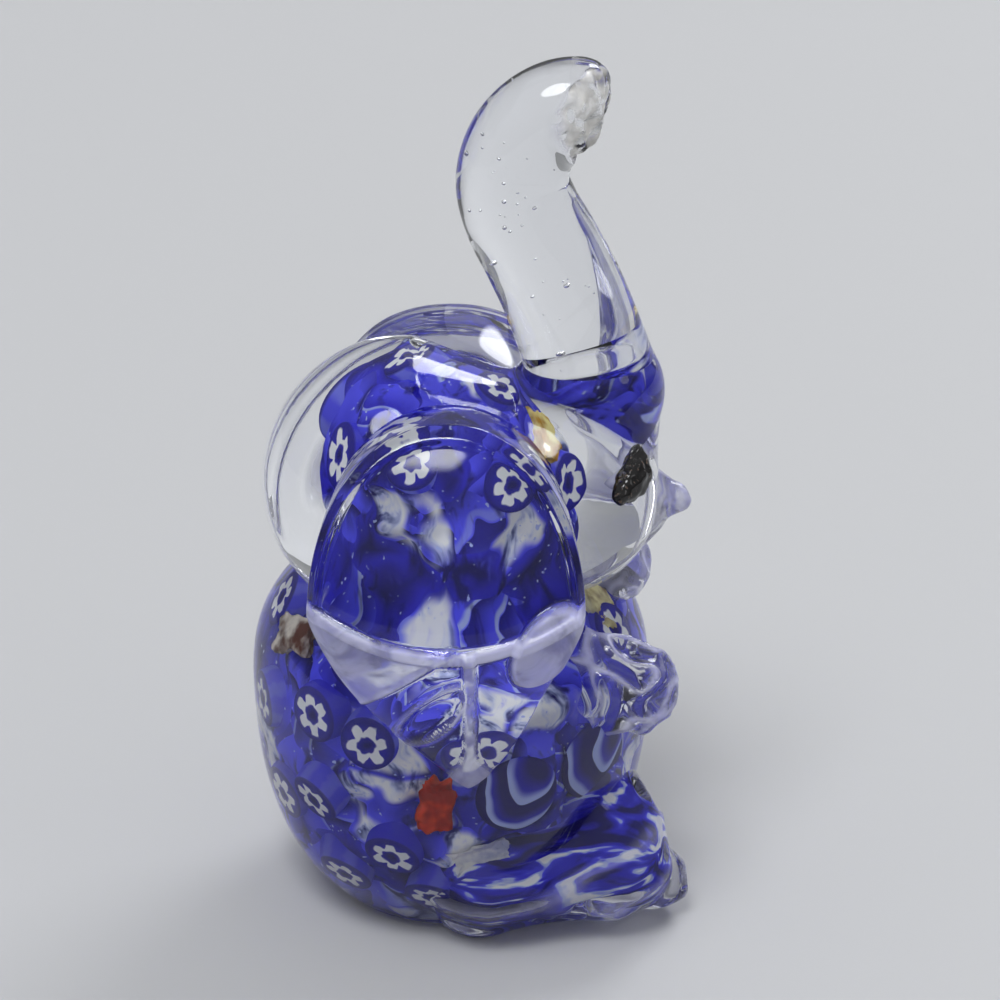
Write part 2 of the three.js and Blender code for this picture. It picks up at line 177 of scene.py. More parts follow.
HEART = place(0, 0, BODY_WIDEST_HEIGHT)
SKULL = place(-0.0063, 0, 0.0633)
FACE = place(0.0150, 0, 0.0620)
TRUNK_SEAT = place(0.0198, 0, 0.0770)
HEAD_CORE = place(0.0015, 0, 0.0633)
STEM_FOOT = place(0, 0, 0.044)
HEAD_MIDDLE = (SKULL + FACE + TRUNK_SEAT) / 3
EAR_CENTRE = place(0, 0, 0.0581)


# Forms

def ball(centre, radius):
    """Distance to a ball, negative inside."""
    return lambda points: np.linalg.norm(points - centre, axis=1) - radius


def taper(start, end, start_radius, end_radius):
    """Distance to a tapered limb with round ends, negative inside."""
    axis = end - start

    def field(points):
        along = np.clip((points - start) @ axis / (axis @ axis), 0, 1)
        nearest = start + along[:, None] * axis
        return np.linalg.norm(points - nearest, axis=1) - (start_radius + along * (end_radius - start_radius))

    return field


def melt(width, *fields):
    """Distance to several forms melted together."""
    return lambda points: -width * np.log(sum(np.exp(-field(points) / width) for field in fields))


def leave(field, middle, rays, inset=0.0):
    """Where rays from inside a form leave it, or reach a skin at some depth inside it."""
    exits = np.repeat(middle[None, :], len(rays), axis=0)
    for _ in range(SKIN_STEPS):
        exits = exits - rays * (field(exits) + inset)[:, None]
    return exits


def smooth(value, low, high):
    """An even step from 0 to 1 between two limits."""
    share = np.clip((value - low) / (high - low), 0, 1)
    return share * share * (3 - 2 * share)


def egg_reach(rays, inset):
    """How far the body's egg lies from its heart along each ray."""
    above = rays[:, 2] > 0
    power = np.where(above, BODY_UPPER_POWER, BODY_LOWER_POWER)
    reach = np.where(above, BODY_UPPER_REACH, BODY_LOWER_REACH) - inset
    across = np.hypot(rays[:, 0], rays[:, 1]) / (BODY_RADIUS - inset)
    return (across ** power + np.abs(rays[:, 2] / reach) ** power) ** (-1 / power)


def ripple(points, size, height):
    """Gentle unevenness of hand-made glass."""
    return np.array([noise.noise(Vector(point) / size) for point in points]) * height


def crease(points, size, height):
    """Sharp folds, as in glass that was pinched while it was hot."""
    return height * (0.5 - 2 * np.abs(ripple(points, size, 1)))


head_form = melt(
    HEAD_MELT,
    taper(SKULL, FACE, SKULL_RADIUS, FACE_RADIUS),
    taper(FACE, TRUNK_SEAT, FACE_RADIUS, SEAT_RADIUS),
)
head_core_form = melt(
    HEAD_MELT,
    ball(HEAD_CORE, HEAD_CORE_RADIUS),
    taper(HEAD_CORE, STEM_FOOT, STEM_RADIUS, STEM_RADIUS),
)


# Meshes

def unit_ball(fineness):
    """A ball of unit radius and the directions of its vertices."""
    mesh = bmesh.new()
    bmesh.ops.create_icosphere(mesh, subdivisions=fineness, radius=1)
    rays = np.array([vert.co.normalized() for vert in mesh.verts])
    return mesh, rays


def move(mesh, points):
    """Puts each vertex at its point."""
    for vert, point in zip(mesh.verts, points):
        vert.co = point


def stand_flat(mesh, height, edge):
    """Cuts a mesh off flat at a height and rounds the edge of the cut."""
    geometry = mesh.verts[:] + mesh.edges[:] + mesh.faces[:]
    cut = bmesh.ops.bisect_plane(
        mesh, geom=geometry, plane_co=(0, 0, height), plane_no=(0, 0, 1), clear_inner=True)
    loop = [item for item in cut["geom_cut"] if isinstance(item, bmesh.types.BMEdge)]
    if not loop:
        return
    bmesh.ops.edgeloop_fill(mesh, edges=loop)
    if edge:
        bmesh.ops.bevel(
            mesh, geom=loop, offset=edge, segments=BASE_EDGE_STEPS, profile=0.5, affect="EDGES", material=-1)


def finish_piece(name, mesh, material, slot, *nodes):
    """Makes a bmesh a smooth piece that stands for CAD nodes."""
    bmesh.ops.recalc_face_normals(mesh, faces=mesh.faces)
    data = bpy.data.meshes.new(name)
    mesh.to_mesh(data)
    mesh.free()
    data.materials.append(material)
    data.shade_smooth()
    piece = bpy.data.objects.new(name, data)
    bpy.context.scene.collection.objects.link(piece)
    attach(piece, WHOLE)
    if nodes:
        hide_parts(*nodes)
    return piece


def mark(piece, name, values):
    """Stores a number for each vertex."""
    attribute = piece.data.attributes.new(name, "FLOAT", "POINT")
    attribute.data.foreach_set("value", np.asarray(values, dtype=np.float32))


def mark_vector(piece, name, values):
    """Stores a vector for each vertex."""
    attribute = piece.data.attributes.new(name, "FLOAT_VECTOR", "POINT")
    attribute.data.foreach_set("vector", np.asarray(values, dtype=np.float32).ravel())


# Shading

# Numbers of node sockets
OBJECT_PLACE = 3
ATTRIBUTE_VECTOR = 1
ATTRIBUTE_NUMBER = 2
NOISE_COLOUR = 1
CELL_COLOUR = 1
CELL_MIDDLE = 2
DOT_RESULT = 1
FIRST_COLOUR = 6
SECOND_COLOUR = 7
MIXED_COLOUR = 2


class Value:
    """A shader socket that takes Python's arithmetic."""

    def __init__(self, shader, socket):
        self.shader = shader
        self.socket = socket

    def math(self, operation, *values):
        """A Math node on numbers."""
        return self.shader.node("ShaderNodeMath", {"operation": operation}, dict(enumerate(values)))

    def __add__(self, other):
        return self.math("ADD", self, other)

    def __sub__(self, other):
        return self.math("SUBTRACT", self, other)

    def __rsub__(self, other):
        return self.math("SUBTRACT", other, self)

    def __mul__(self, other):
        return self.math("MULTIPLY", self, other)

    def __gt__(self, other):
        return self.math("GREATER_THAN", self, other)

    def __lt__(self, other):
        return self.math("LESS_THAN", self, other)

    __radd__ = __add__
    __rmul__ = __mul__


class Shader:
    """The node tree of one material."""

    def __init__(self, tree):
        self.tree = tree
        tree.nodes.clear()

    def node(self, kind, settings=None, inputs=None, output=0):
        """Any node: its settings first, then the values or links of its sockets."""
        node = self.tree.nodes.new(kind)
        for key, value in (settings or {}).items():
            setattr(node, key, value)
        for key, value in (inputs or {}).items():
            if isinstance(value, Value):
                self.tree.links.new(value.socket, node.inputs[key])
            else:
                node.inputs[key].default_value = value
        return Value(self, node.outputs[output]) if len(node.outputs) else None

    def vector(self, operation, *values, output=0):
        """A Vector Math node on vectors or colours."""
        return self.node("ShaderNodeVectorMath", {"operation": operation}, dict(enumerate(values)), output)

    def split(self, vector):
        """The three numbers of a vector or colour."""
        parts = self.node("ShaderNodeSeparateXYZ", {}, {0: vector})
        return [Value(self, socket) for socket in parts.socket.node.outputs]

    def attribute(self, name, output=ATTRIBUTE_NUMBER):
        """What a piece's vertices hold under a name."""
        return self.node("ShaderNodeAttribute", {"attribute_name": name}, output=output)

    def where(self):
        """The point of the surface, in metres."""
        return self.node("ShaderNodeTexCoord", output=OBJECT_PLACE)

    def noise(self, spot, scale, detail, distortion=0.0, output=0):
        """Cloudy noise with so many clouds to a metre."""
        return self.node("ShaderNodeTexNoise", {}, {
            "Vector": spot, "Scale": scale, "Detail": detail, "Distortion": distortion}, output)

    def blend(self, factor, first, second):
        """The first colour where the factor is 0, the second where it is 1."""
        return self.node("ShaderNodeMix", {"data_type": "RGBA"}, {
            0: factor, FIRST_COLOUR: first, SECOND_COLOUR: second}, MIXED_COLOUR)

    def smooth(self, value, low, high):
        """An even step from 0 to 1 between two limits."""
        return self.node(
            "ShaderNodeMapRange", {"interpolation_type": "SMOOTHSTEP"}, {0: value, 1: low, 2: high})


def new_shader(name):
    """A material and the node tree to build it in."""
    material = bpy.data.materials.new(name)
    material.use_nodes = True
    return material, Shader(material.node_tree)


def coat(material, shader, surface):
    """Gives a material its surface."""
    shader.node("ShaderNodeOutputMaterial", {}, {0: surface})
    return material


def bury(material, shader, colour, roughness):
    """Finishes glass that lies inside clear glass, so it has no gloss of its own."""
    surface = shader.node("ShaderNodeBsdfPrincipled", {}, {
        "Base Color": colour, "Roughness": roughness, "Specular IOR Level": 0.0})
    return coat(material, shader, surface)


def rgb(red, green, blue):
    """An opaque colour."""
    return (red, green, blue, 1)


GLASS_IOR = 1.5
FROST_ROUGHNESS = 0.45
FROST_WISPS = 190.0
FROST_THIN = 0.5
FROST_PATCHES = (0.32, 0.66)
CLEAR = rgb(0.97, 0.98, 1.0)
FROST = rgb(0.60, 0.60, 0.82)
TIP_FROST = rgb(0.82, 0.80, 0.76)
NAVY = rgb(0.009, 0.006, 0.150)
COBALT = rgb(0.028, 0.022, 0.58)
BRIGHT_COBALT = rgb(0.085, 0.085, 0.92)
PALE_BLUE = rgb(0.45, 0.53, 0.90)
WHITE = rgb(0.92, 0.93, 0.96)
AIR = rgb(1, 1, 1)
BLACK = rgb(0.004, 0.003, 0.003)
BROWN = rgb(0.09, 0.055, 0.04)


def clear_glass():
    """Fire-polished clear glass, unseen where it is fused inside another bit of glass."""
    material, shader = new_shader("clear_glass")
    fused = shader.attribute("fused") > 0
    shown = 1 - fused
    wisps = shader.noise(shader.where(), FROST_WISPS, detail=3.0, distortion=0.8)
    patches = FROST_THIN + (1 - FROST_THIN) * shader.smooth(wisps, *FROST_PATCHES)
    frost = shader.attribute("frost") * patches
    polished = shader.node("ShaderNodeBsdfPrincipled", {}, {
        "Base Color": CLEAR, "Roughness": 0.0, "IOR": GLASS_IOR, "Transmission Weight": 1.0, "Alpha": shown})
    frosted = shader.node("ShaderNodeBsdfPrincipled", {}, {
        "Base Color": shader.blend(shader.attribute("broken"), FROST, TIP_FROST),
        "Roughness": FROST_ROUGHNESS, "IOR": GLASS_IOR, "Alpha": shown})
    surface = shader.node("ShaderNodeMixShader", {}, {0: frost, 1: polished, 2: frosted})
    return coat(material, shader, surface)


# Scales of the patterns, in repeats per metre, and the stretches of a pattern where a colour comes in
CORE_ROUGHNESS = 0.6
RODS = 125.0
ROD_DRIFT = 150.0
ROD_BEND = (0.007, 0.007, 0.007)
MIDDLE_GREY = (0.5, 0.5, 0.5)
ROD_STRIPES = 520.0
STRIPE_FLANK = (0.0, 0.80)
STRIPE_LINE = (0.80, 0.90)
STRIPE_END = (0.95, 1.0)
STRIPED_RODS = (0.45, 0.80)
PALE_RODS = (0.80, 0.82)
PALE_ROD_EDGE = (0.01, 0.16)
DEEP_RODS = (0.14, 0.30)
DEEP_ROD_EDGE = (0.0, 0.35)
CORE_WISPS = 420.0
CORE_WISP_STRETCH = (1.0, 1.0, 0.3)
DARK_WISPS = (0.30, 0.48)
WHITE_WISPS = (0.36, 0.56)
BRIGHT_WISPS = (0.60, 0.78)
BRIGHT_WISP_STRENGTH = 0.6
CORE_GRAINS = 1100.0
GRAINS_SHOWN = (0.70, 0.76)


def cobalt_glass():
    """Cobalt rods pressed together: each with its own tone and its own run of stripes."""
    material, shader = new_shader("cobalt_glass")
    where = shader.where()
    drift = shader.noise(where, ROD_DRIFT, detail=1.0, output=NOISE_COLOUR)
    bent = shader.vector("MULTIPLY_ADD", drift, ROD_BEND, where)
    cell = {"Vector": bent, "Scale": RODS}
    dice = shader.node("ShaderNodeTexVoronoi", {}, cell, CELL_COLOUR)
    middle = shader.node("ShaderNodeTexVoronoi", {}, cell, CELL_MIDDLE)
    border = shader.node("ShaderNodeTexVoronoi", {"feature": "DISTANCE_TO_EDGE"}, cell)
    wisps = shader.noise(shader.vector("MULTIPLY", bent, CORE_WISP_STRETCH), CORE_WISPS, detail=3.0)
    tone, kind, shine = shader.split(dice)
    run = shader.vector("SUBTRACT", dice, MIDDLE_GREY)
    along = shader.vector("DOT_PRODUCT", shader.vector("SUBTRACT", bent, middle), run, output=DOT_RESULT)
    stripes = along.math("FRACT", along * ROD_STRIPES)
    dark = shader.blend(shine, NAVY, COBALT)
    flank = shader.blend(shader.smooth(stripes, *STRIPE_FLANK), dark, BRIGHT_COBALT)
    line = shader.smooth(stripes, *STRIPE_LINE) * (1 - shader.smooth(stripes, *STRIPE_END))
    striped = shader.blend(line * shader.smooth(tone, *STRIPED_RODS), flank, PALE_BLUE)
    pale = shader.blend(shader.smooth(wisps, *WHITE_WISPS), PALE_BLUE, WHITE)
    pale_rods = shader.smooth(kind, *PALE_RODS) * shader.smooth(border, *PALE_ROD_EDGE)
    mixed = shader.blend(pale_rods, striped, pale)
    deep = shader.blend(shader.smooth(border, *DEEP_ROD_EDGE), COBALT, NAVY)
    rods = shader.blend(shader.smooth(kind, *DEEP_RODS), deep, mixed)
    shaded = shader.blend(shader.smooth(wisps, *DARK_WISPS), NAVY, rods)
    lit = shader.blend(shader.smooth(wisps, *BRIGHT_WISPS) * BRIGHT_WISP_STRENGTH, shaded, BRIGHT_COBALT)
    grains = shader.noise(where, CORE_GRAINS, detail=1.0)
    colour = shader.blend(shader.smooth(grains, *GRAINS_SHOWN), lit, PALE_BLUE)
    return bury(material, shader, colour, CORE_ROUGHNESS)


DRAWN_STREAKS = 270.0
DRAWN_STRETCH = (0.32, 1.0, 1.0)
DRAWN_COBALT_STREAKS = (0.38, 0.50)
DRAWN_BRIGHT_STREAKS = (0.50, 0.60)
DRAWN_PALE_STREAKS = (0.57, 0.60)
DRAWN_WHITE_STREAKS = (0.61, 0.65)


def drawn_cobalt():
    """Canes drawn out into a foot: streaks of cobalt, pale blue and white that run with it."""
    material, shader = new_shader("drawn_cobalt")
    drawn = shader.vector("MULTIPLY", shader.where(), DRAWN_STRETCH)
    streaks = shader.noise(drawn, DRAWN_STREAKS, detail=2.0, distortion=1.2)
    deep = shader.blend(shader.smooth(streaks, *DRAWN_COBALT_STREAKS), NAVY, COBALT)
    lit = shader.blend(shader.smooth(streaks, *DRAWN_BRIGHT_STREAKS), deep, BRIGHT_COBALT)
    pale = shader.blend(shader.smooth(streaks, *DRAWN_PALE_STREAKS), lit, PALE_BLUE)
    colour = shader.blend(shader.smooth(streaks, *DRAWN_WHITE_STREAKS), pale, WHITE)
    return bury(material, shader, colour, CORE_ROUGHNESS)


# Measures on a cane's end, where the rod's radius is 1, and wobbles and sways to a metre
CANE_ROUGHNESS = 0.5
PETALS = 6
PETAL_WOBBLES = 620.0
PETAL_WOBBLE = 0.30
PETAL_VALLEY = 0.46
PETAL_RISE = 0.29
PETAL_ROUNDING = (0.05, 0.95)
PETAL_ROOT = 0.30
PETAL_ROOT_RISE = 0.04
PETAL_OUTER_EDGE = (-0.04, 0.03)
PETAL_INNER_EDGE = (-0.03, 0.04)
HEART_EDGE = (0.05, 0.35)
JACKET_EDGE = (0.6, 1.0)
JACKET_SHADE = 0.35
JACKET_SHADE_RISE = 0.4
SIDE_STREAKS = (0.55, 1.0)
SIDE_STREAK_STRENGTH = 0.35
LOOPS = 1.25
LOOP_CENTRE = 0.75
LOOP_NARROWING = 1.35
LOOP_SWAYS = 150.0
LOOP_SWAY = 0.8
LOOP_ENDS = (0.3, 1.0)
LOOP_FLANK = (0.3, 0.9)
LOOP_LINE = (0.70, 0.90)


def swayed_cane(shader, waves, reach, detail):
    """The place across a cane's end, bent to and fro as hot glass is."""
    bend = shader.noise(shader.where(), waves, detail, output=NOISE_COLOUR)
    centred = shader.vector("MULTIPLY_ADD", bend, (reach, reach, 0), (-reach / 2, -reach / 2, 0))
    return shader.vector("ADD", shader.attribute("cane", ATTRIBUTE_VECTOR), centred)


def hanging_loops(shader):
    """The layers of a cane that sagged: navy loops, each with a pale line below it."""
    across, upward, _ = shader.split(swayed_cane(shader, LOOP_SWAYS, LOOP_SWAY, detail=0.5))
    sag = upward - LOOP_CENTRE
    drawn_in = across * LOOP_NARROWING
    loops = sag.math("FRACT", sag.math("SQRT", drawn_in * drawn_in + sag * sag) * LOOPS)
    flank = shader.blend(shader.smooth(loops, *LOOP_FLANK), NAVY, COBALT)
    line = shader.smooth(loops, *LOOP_LINE) * (1 - shader.smooth(upward, *LOOP_ENDS))
    return shader.blend(line, flank, PALE_BLUE)


def flower_cane():
    """A white flower in a cobalt rod: the flower on the ends, pale streaks down the side."""
    material, shader = new_shader("flower_cane")
    x, y, _ = shader.split(swayed_cane(shader, PETAL_WOBBLES, PETAL_WOBBLE, detail=1.0))
    radius = x.math("SQRT", x * x + y * y)
    lobes = x.math("ABSOLUTE", x.math("COSINE", x.math("ARCTAN2", y, x) * (PETALS / 2)))
    outer = PETAL_VALLEY + PETAL_RISE * shader.smooth(lobes, *PETAL_ROUNDING)
    inner = PETAL_ROOT + PETAL_ROOT_RISE * lobes
    within = 1 - shader.smooth(radius - outer, *PETAL_OUTER_EDGE)
    petal = within * shader.smooth(radius - inner, *PETAL_INNER_EDGE)
    shade = JACKET_SHADE + JACKET_SHADE_RISE * shader.smooth(radius, *JACKET_EDGE)
    jacket = shader.blend(shade, COBALT, NAVY)
    heart = shader.blend(1 - shader.smooth(radius, *HEART_EDGE), jacket, NAVY)
    flower = shader.blend(petal, heart, WHITE)
    face = shader.blend(shader.attribute("droop"), flower, hanging_loops(shader))
    tone = shader.attribute("tone")
    flank = shader.blend(tone, COBALT, BRIGHT_COBALT)
    side_streaks = shader.smooth(lobes, *SIDE_STREAKS) * (SIDE_STREAK_STRENGTH * tone)
    side = shader.blend(side_streaks, flank, PALE_BLUE)
    _, _, end = shader.split(shader.attribute("cane", ATTRIBUTE_VECTOR))
    return bury(material, shader, shader.blend(end, side, face), CANE_ROUGHNESS)


CHIP_STREAKS = 300.0
LIGHT_CHIP_STREAKS = (0.36, 0.62)


def chip_glass(name, dark, light):
    """Streaked coloured glass."""
    material, shader = new_shader(name)
    streaks = shader.noise(shader.where(), CHIP_STREAKS, detail=3.0)
    colour = shader.blend(shader.smooth(streaks, *LIGHT_CHIP_STREAKS), dark, light)
    return bury(material, shader, colour, CANE_ROUGHNESS)


def trapped_air():
    """The inside of a bubble, seen from the glass around it."""
    material, shader = new_shader("trapped_air")
    surface = shader.node("ShaderNodeBsdfPrincipled", {}, {
        "Base Color": AIR, "Roughness": 0.0, "IOR": 1 / GLASS_IOR, "Transmission Weight": 1.0})
    return coat(material, shader, surface)


EYE_GRAINS = 1500.0
EYE_SPECKS = (0.60, 0.70)
EYE_SPECK_HEIGHT = 0.0003
EYE_SPECK_STRENGTH = 0.35
EYE_ROUGHNESS = 0.06


def black_glass():
    """Black bead with brown specks."""
    material, shader = new_shader("black_glass")
    specks = shader.smooth(shader.noise(shader.where(), EYE_GRAINS, detail=2.0), *EYE_SPECKS)
    colour = shader.blend(specks, BLACK, BROWN)
    bump = shader.node("ShaderNodeBump", {}, {
        "Strength": EYE_SPECK_STRENGTH, "Distance": EYE_SPECK_HEIGHT, "Height": specks})
    surface = shader.node("ShaderNodeBsdfPrincipled", {}, {
        "Base Color": colour, "Roughness": EYE_ROUGHNESS, "Normal": bump})
    return coat(material, shader, surface)


GLASS = clear_glass()
COBALT_GLASS = cobalt_glass()
DRAWN_COBALT = drawn_cobalt()
FLOWER_CANE = flower_cane()
# Slot, finish, dark streaks and light streaks of each chip
CHIPS = {
    "body_chip_red": ("red_chip", "red_chip", rgb(0.34, 0.010, 0.006), rgb(0.80, 0.060, 0.022)),
    "body_chip_amber": ("amber_chip", "amber_chip", rgb(0.10, 0.03, 0.02), rgb(0.76, 0.70, 0.60)),
    "head_chip_amber": ("amber_chip", "yellow_chip", rgb(0.50, 0.24, 0.02), rgb(0.85, 0.74, 0.30)),
    "body_chip_yellow": ("amber_chip", "straw_chip", rgb(0.30, 0.20, 0.10), rgb(0.86, 0.80, 0.42)),
    "body_chip_white": ("white_chip", "white_chip", rgb(0.40, 0.42, 0.62), rgb(0.88, 0.88, 0.86)),
}
BLACK_GLASS = black_glass()
glass_pieces = []


def glass_piece(name, mesh, *nodes):
    """A piece of clear glass, to be fused with the others."""
    piece = finish_piece(name, mesh, GLASS, "clear_glass", *nodes)
    glass_pieces.append(piece)
    return piece


# Making the body

def body_casing():
    """The clear egg, ground flat and frosted below."""
    mesh, rays = unit_ball(FINE)
    points = HEART + rays * egg_reach(rays, 0)[:, None]
    points += rays * ripple(points, *BODY_WAVES)[:, None]
    move(mesh, points)
    stand_flat(mesh, 0, BASE_EDGE)
    piece = glass_piece("clear_body", mesh, "body_casing")
    mark(piece, "frost", [float(vert.co.z < GROUND_SKIN) for vert in piece.data.vertices])
    return piece


def body_core():
    """The lumpy cobalt egg inside the clear one."""
    mesh, rays = unit_ball(MEDIUM)
    points = HEART + rays * egg_reach(rays, BODY_WALL + CORE_INSET)[:, None]
    points += rays * ripple(points, *BODY_CORE_LUMPS)[:, None]
    move(mesh, points)
    stand_flat(mesh, BASE_WALL, 0)
    return finish_piece("cobalt_body", mesh, COBALT_GLASS, "cobalt_glass", "body_core")


def head_core():
    """The cobalt ball in the head, with its stem down to the body."""
    mesh, rays = unit_ball(MEDIUM)
    points = leave(head_core_form, HEAD_CORE, rays, HEAD_CORE_INSET)
    points += rays * ripple(points, *HEAD_CORE_LUMPS)[:, None]
    move(mesh, points)
    return finish_piece("cobalt_head", mesh, COBALT_GLASS, "cobalt_glass", "head_core")


def cane(node, outer_end, outward, radius, length, turn, tone):
    """A rod with its flower facing outwards."""
    mesh = bmesh.new()
    bmesh.ops.create_cone(
        mesh, cap_ends=True, segments=CANE_SIDES, radius1=radius, radius2=radius, depth=length)
    rims = [edge for edge in mesh.edges if abs(edge.verts[0].co.z - edge.verts[1].co.z) < length / 2]
    bmesh.ops.bevel(
        mesh, geom=rims, offset=radius * CANE_EDGE, segments=CANE_EDGE_STEPS, profile=0.5, affect="EDGES",
        material=-1)
    local = np.array([vert.co for vert in mesh.verts])
    ends = np.where(np.abs(local[:, 2]) > length / 2 - radius * CANE_END, 1.0, 0.0)
    stand = Vector(outward).to_track_quat("Z", "Y").to_matrix() @ Matrix.Rotation(turn, 3, "Z")
    middle = Vector(outer_end) - Vector(outward) * length / 2
    bmesh.ops.transform(mesh, matrix=Matrix.Translation(middle) @ stand.to_4x4(), verts=mesh.verts)
    piece = finish_piece(f"flower_{node}", mesh, FLOWER_CANE, "flower_cane", node)
    mark_vector(piece, "cane", np.column_stack((local[:, :2] / radius, ends)))
    mark(piece, "tone", np.full(len(local), tone))
    mark(piece, "droop", np.zeros(len(local)))
    return piece


def drooped_cane(node, ray, turn, tone):
    """A slice that sagged while hot, spread over the core with its layers in hanging loops."""
    mesh, rays = unit_ball(COARSE)
    stand = np.array(Vector(ray).to_track_quat("Z", "Y").to_matrix() @ Matrix.Rotation(turn, 3, "Z"))
    skin = HEART + ray * egg_reach(ray[None, :], BODY_WALL)[0]
    spread = skin + DROOP_HALF_WIDTH * (rays * (1, 1, 0)) @ stand.T
    out = spread - HEART
    out /= np.linalg.norm(out, axis=1)[:, None]
    depth = BODY_WALL + DROOP_THICKNESS * (1 - rays[:, 2]) / 2
    move(mesh, HEART + out * egg_reach(out, depth)[:, None])
    piece = finish_piece(f"flower_{node}", mesh, FLOWER_CANE, "flower_cane", node)
    mark_vector(piece, "cane", np.column_stack((rays[:, :2], smooth(rays[:, 2], *DROOP_EDGE))))
    mark(piece, "tone", np.full(len(rays), tone))
    mark(piece, "droop", np.ones(len(rays)))
    return piece


def tilted(outward, dice):
    """A direction leaned a little at random."""
    lean = Vector((dice.uniform(-1, 1), dice.uniform(-1, 1), dice.uniform(-1, 1))) * math.tan(CANE_TILT)
    return (Vector(outward) + lean).normalized()


def ray_to(node, middle):
    """Unit direction from a core's middle to a CAD node's."""
    low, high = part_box(node)
    ray = np.array((low + high) / 2) - middle
    return ray / np.linalg.norm(ray)


def canes():
    """Each slice where its CAD node is, leaned and turned at random."""
    dice = random.Random(CANE_SHUFFLE)
    for node in sorted(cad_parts):
        if node.startswith("body_cane"):
            ray = ray_to(node, HEART)
            skin = HEART + ray * egg_reach(ray[None, :], BODY_WALL)[0]
            turn = dice.uniform(*CANE_TURNS)
            facing = tilted(ray, dice)
            tone = dice.random()
            if node in DROOPED_CANES:
                drooped_cane(node, ray, DROOPED_CANES[node], tone)
            else:
                cane(node, skin, facing, CANE_RADIUS, CANE_LENGTH, turn, tone)
        if node.startswith("head_cane"):
            ray = ray_to(node, HEAD_CORE)
            skin = leave(head_core_form, HEAD_CORE, ray[None, :])[0]
            facing = tilted(ray, dice)
            turn = dice.uniform(*CANE_TURNS)
            tone = dice.random()
            cane(node, skin, facing, HEAD_CANE_RADIUS, HEAD_CANE_LENGTH, turn, tone)


def chips():
    """The coloured slices that lie on their side, with torn edges."""
    for node, (slot, finish, dark, light) in CHIPS.items():
        mesh = bmesh.new()
        mesh.from_mesh(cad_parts[node].data)
        bmesh.ops.remove_doubles(mesh, verts=mesh.verts, dist=SAME_POINT)
        bmesh.ops.subdivide_edges(mesh, edges=mesh.edges, cuts=CHIP_CUTS, use_grid_fill=True)
        points = np.array([vert.co for vert in mesh.verts])
        away = points - points.mean(axis=0)
        torn = sum(ripple(points, *tear) for tear in CHIP_TEARS)
        move(mesh, points + away * torn[:, None])
        finish_piece(f"streaked_{node}", mesh, chip_glass(finish, dark, light), slot, node)


# Making the head and the trunk

CHEEK_WIDENING = 0.20
CHEEK_TOP = 0.0795
CHEEK_FULL = 0.0690
CHEEK_REAR = 0.004
CHEEK_FRONT = 0.013


def with_cheeks(points):
    """Widens the face below the trunk, as where the trunk's bar was pressed on."""
    share = smooth(CHEEK_TOP - points[:, 2], 0, CHEEK_TOP - CHEEK_FULL)
    share *= smooth(points[:, 0] - AXIS_AHEAD, CHEEK_REAR, CHEEK_FRONT)
    widened = points.copy()
    widened[:, 1] *= 1 + CHEEK_WIDENING * share
    return widened


def head_casing():
    """The clear skull, face and seat of the trunk."""
    mesh, rays = unit_ball(FINE)
    points = leave(head_form, HEAD_MIDDLE, rays)
    points += rays * ripple(points, *HEAD_WAVES)[:, None]
    move(mesh, with_cheeks(points))
    return glass_piece("clear_head", mesh, "head_casing")


# Middle of the trunk, ahead of its seat and above it
TRUNK_LINE = (
    (-0.0006, -0.006), (0, 0), (-0.0008, 0.0055), (-0.0038, 0.014), (-0.007, 0.0205), (-0.0098, 0.026),
    (-0.011, 0.031), (-0.0092, 0.0366), (-0.0044, 0.0402), (0.0028, 0.0408),
)


def spline(line, shares):
    """Points and tangents of a smooth curve through a line of points."""
    line = np.array(line)
    padded = np.vstack((2 * line[0] - line[1], line, 2 * line[-1] - line[-2]))
    position = np.clip(shares, 0, 1 - TINY) * (len(line) - 1)
    index = position.astype(int)
    step = (position - index)[:, None]
    before, start, end, after = (padded[index + offset] for offset in range(4))
    points = 0.5 * (2 * start + (end - before) * step + (2 * before - 5 * start + 4 * end - after) * step ** 2
                    + (3 * start - before - 3 * end + after) * step ** 3)
    tangents = 0.5 * ((end - before) + 2 * (2 * before - 5 * start + 4 * end - after) * step
                      + 3 * (3 * start - before - 3 * end + after) * step ** 2)
    return points, tangents / np.linalg.norm(tangents, axis=1)[:, None]


TIP_FACE_ANGLE = 0.5
TIP_CUT = np.array((0.78, -0.55, -0.30))
TIP_CUT_DEPTH = 0.0026
TIP_FLATTENING = 0.62
TIP_FACE_START = 0.84
TIP_FACE_FULL = 0.93
TIP_EDGE = (-0.0006, 0.0002)
TIP_FOLDS = (0.0030, 0.0006)
TIP_PITS = (0.0021, 0.0011)
TIP_WEAR = 0.0003
TIP_FROSTING = 0.95
TIP_PATCHES = 0.0017
TIP_PATCH_EDGE = (-0.30, 0.0)


